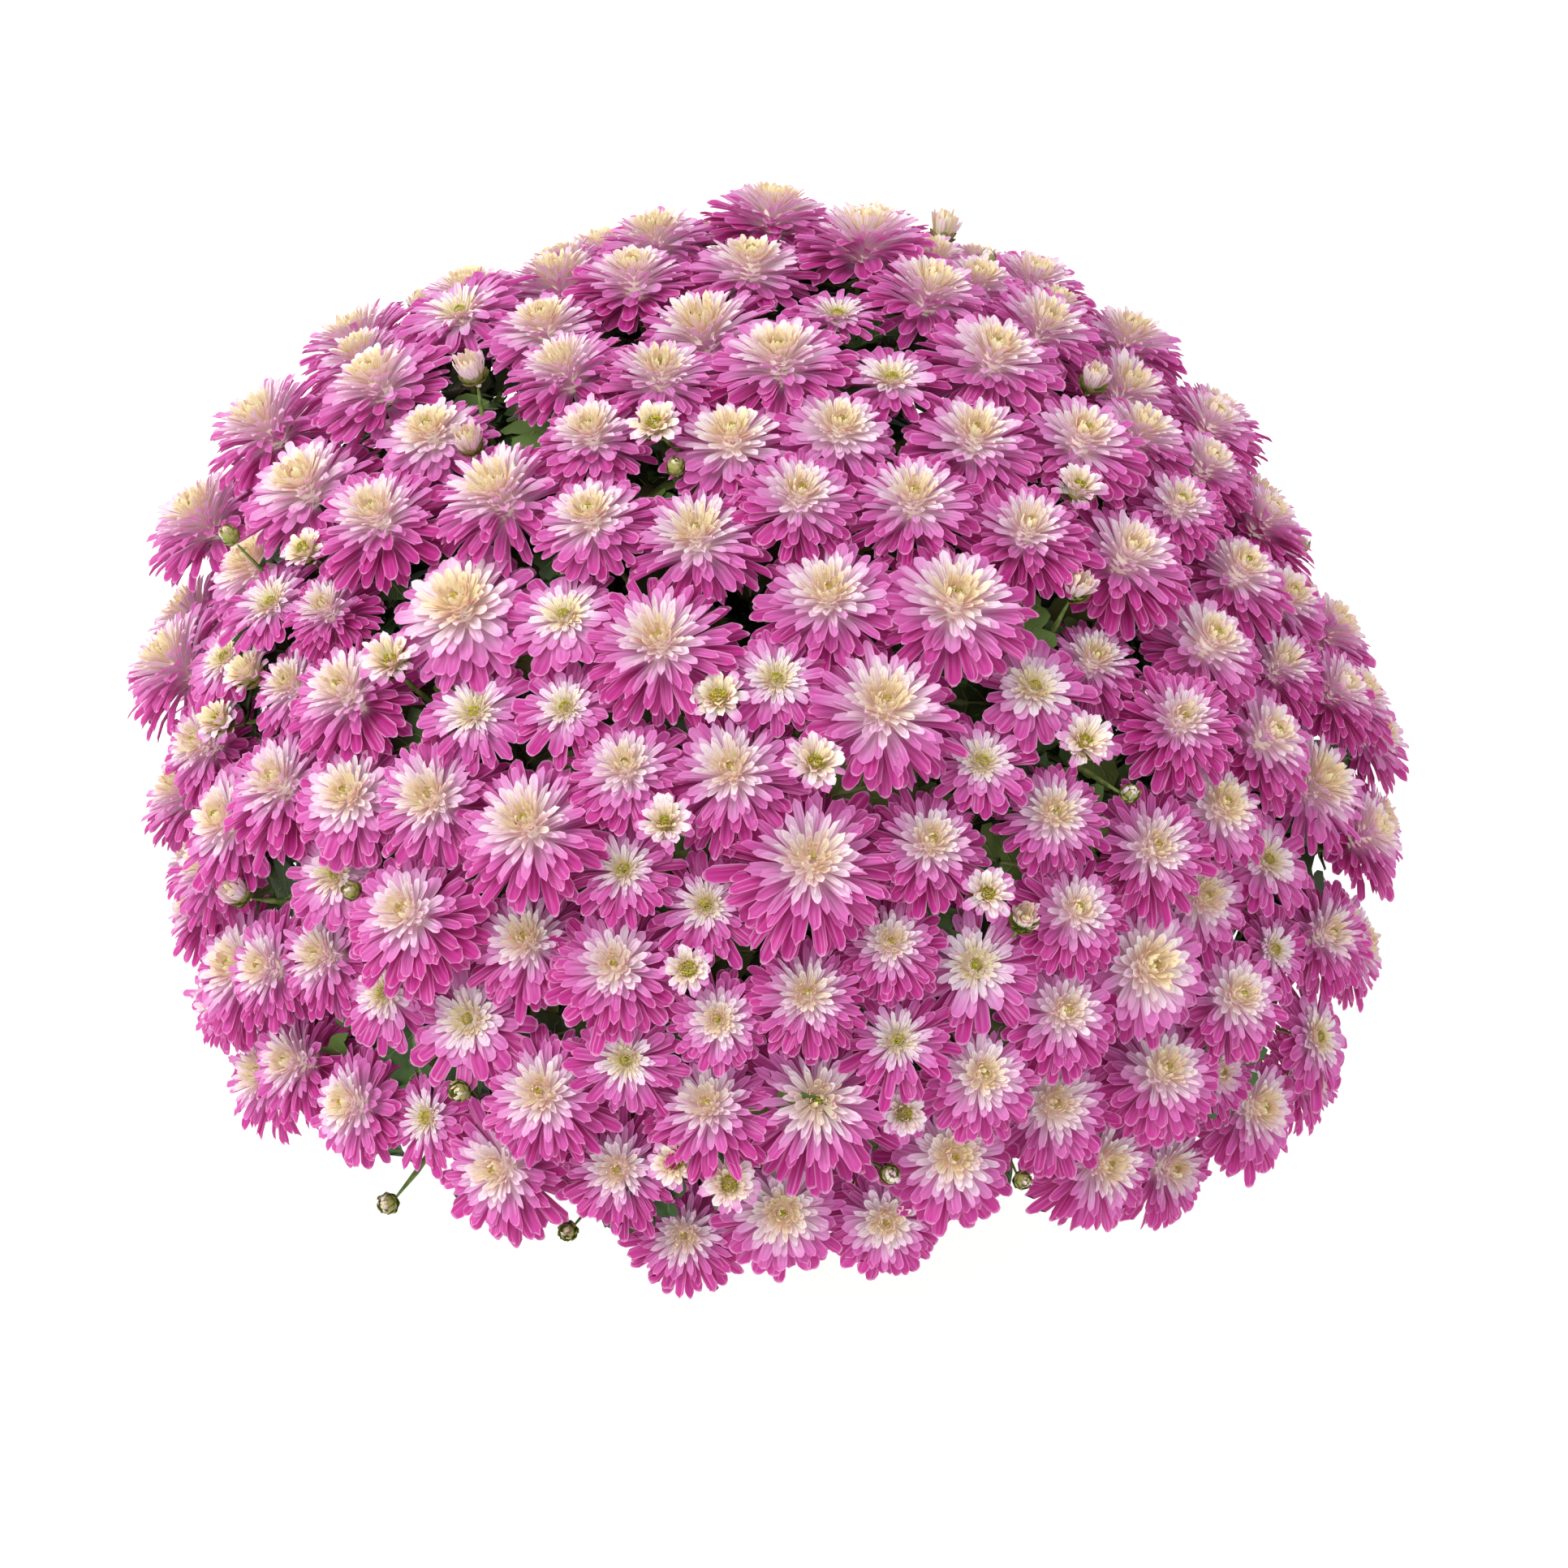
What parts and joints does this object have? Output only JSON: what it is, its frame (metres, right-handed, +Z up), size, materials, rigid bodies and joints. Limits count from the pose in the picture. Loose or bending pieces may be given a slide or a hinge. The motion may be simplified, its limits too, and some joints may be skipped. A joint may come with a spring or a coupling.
{
  "type": "potted chrysanthemum",
  "caption": "Dense domed cushion of double pink blooms with cream hearts, half-open cups and buds on leafy green stems, standing in a plain round tapered pot.",
  "frame": {"origin": "centre of the pot's flat base, on the surface it stands on", "axes": "+Z up, the pictured side of the cushion faces -Y, +X to the right in the picture"},
  "size_m": [0.467, 0.4532, 0.3691],
  "materials": {
    "terracotta": "matte",
    "potting_soil": "matte",
    "leaf_green": "matte",
    "bloom_pink": "matte"
  },
  "bodies": {
    "root": {"pot": "terracotta", "soil": "potting_soil", "leafy_stem_1": "leaf_green", "leafy_stem_2": "leaf_green", "leafy_stem_3": "leaf_green", "leafy_stem_4": "leaf_green", "leafy_stem_5": "leaf_green", "leafy_stem_6": "leaf_green", "leafy_stem_7": "leaf_green", "spray_01": "bloom_pink", "spray_02": "bloom_pink", "spray_03": "bloom_pink", "spray_04": "bloom_pink", "spray_05": "bloom_pink", "spray_06": "bloom_pink", "spray_07": "bloom_pink", "spray_08": "bloom_pink", "spray_09": "bloom_pink", "spray_10": "bloom_pink", "spray_11": "bloom_pink", "spray_12": "bloom_pink", "spray_13": "bloom_pink", "spray_14": "bloom_pink", "spray_15": "bloom_pink", "spray_16": "bloom_pink", "spray_17": "bloom_pink", "spray_18": "bloom_pink", "spray_19": "bloom_pink", "spray_20": "bloom_pink", "spray_21": "bloom_pink", "spray_22": "bloom_pink", "spray_23": "bloom_pink", "spray_24": "bloom_pink", "spray_25": "bloom_pink", "spray_26": "bloom_pink", "spray_27": "bloom_pink", "spray_28": "bloom_pink", "spray_29": "bloom_pink", "spray_30": "bloom_pink", "spray_31": "bloom_pink", "spray_32": "bloom_pink", "spray_33": "bloom_pink", "spray_34": "bloom_pink"}
  },
  "joints": []
}
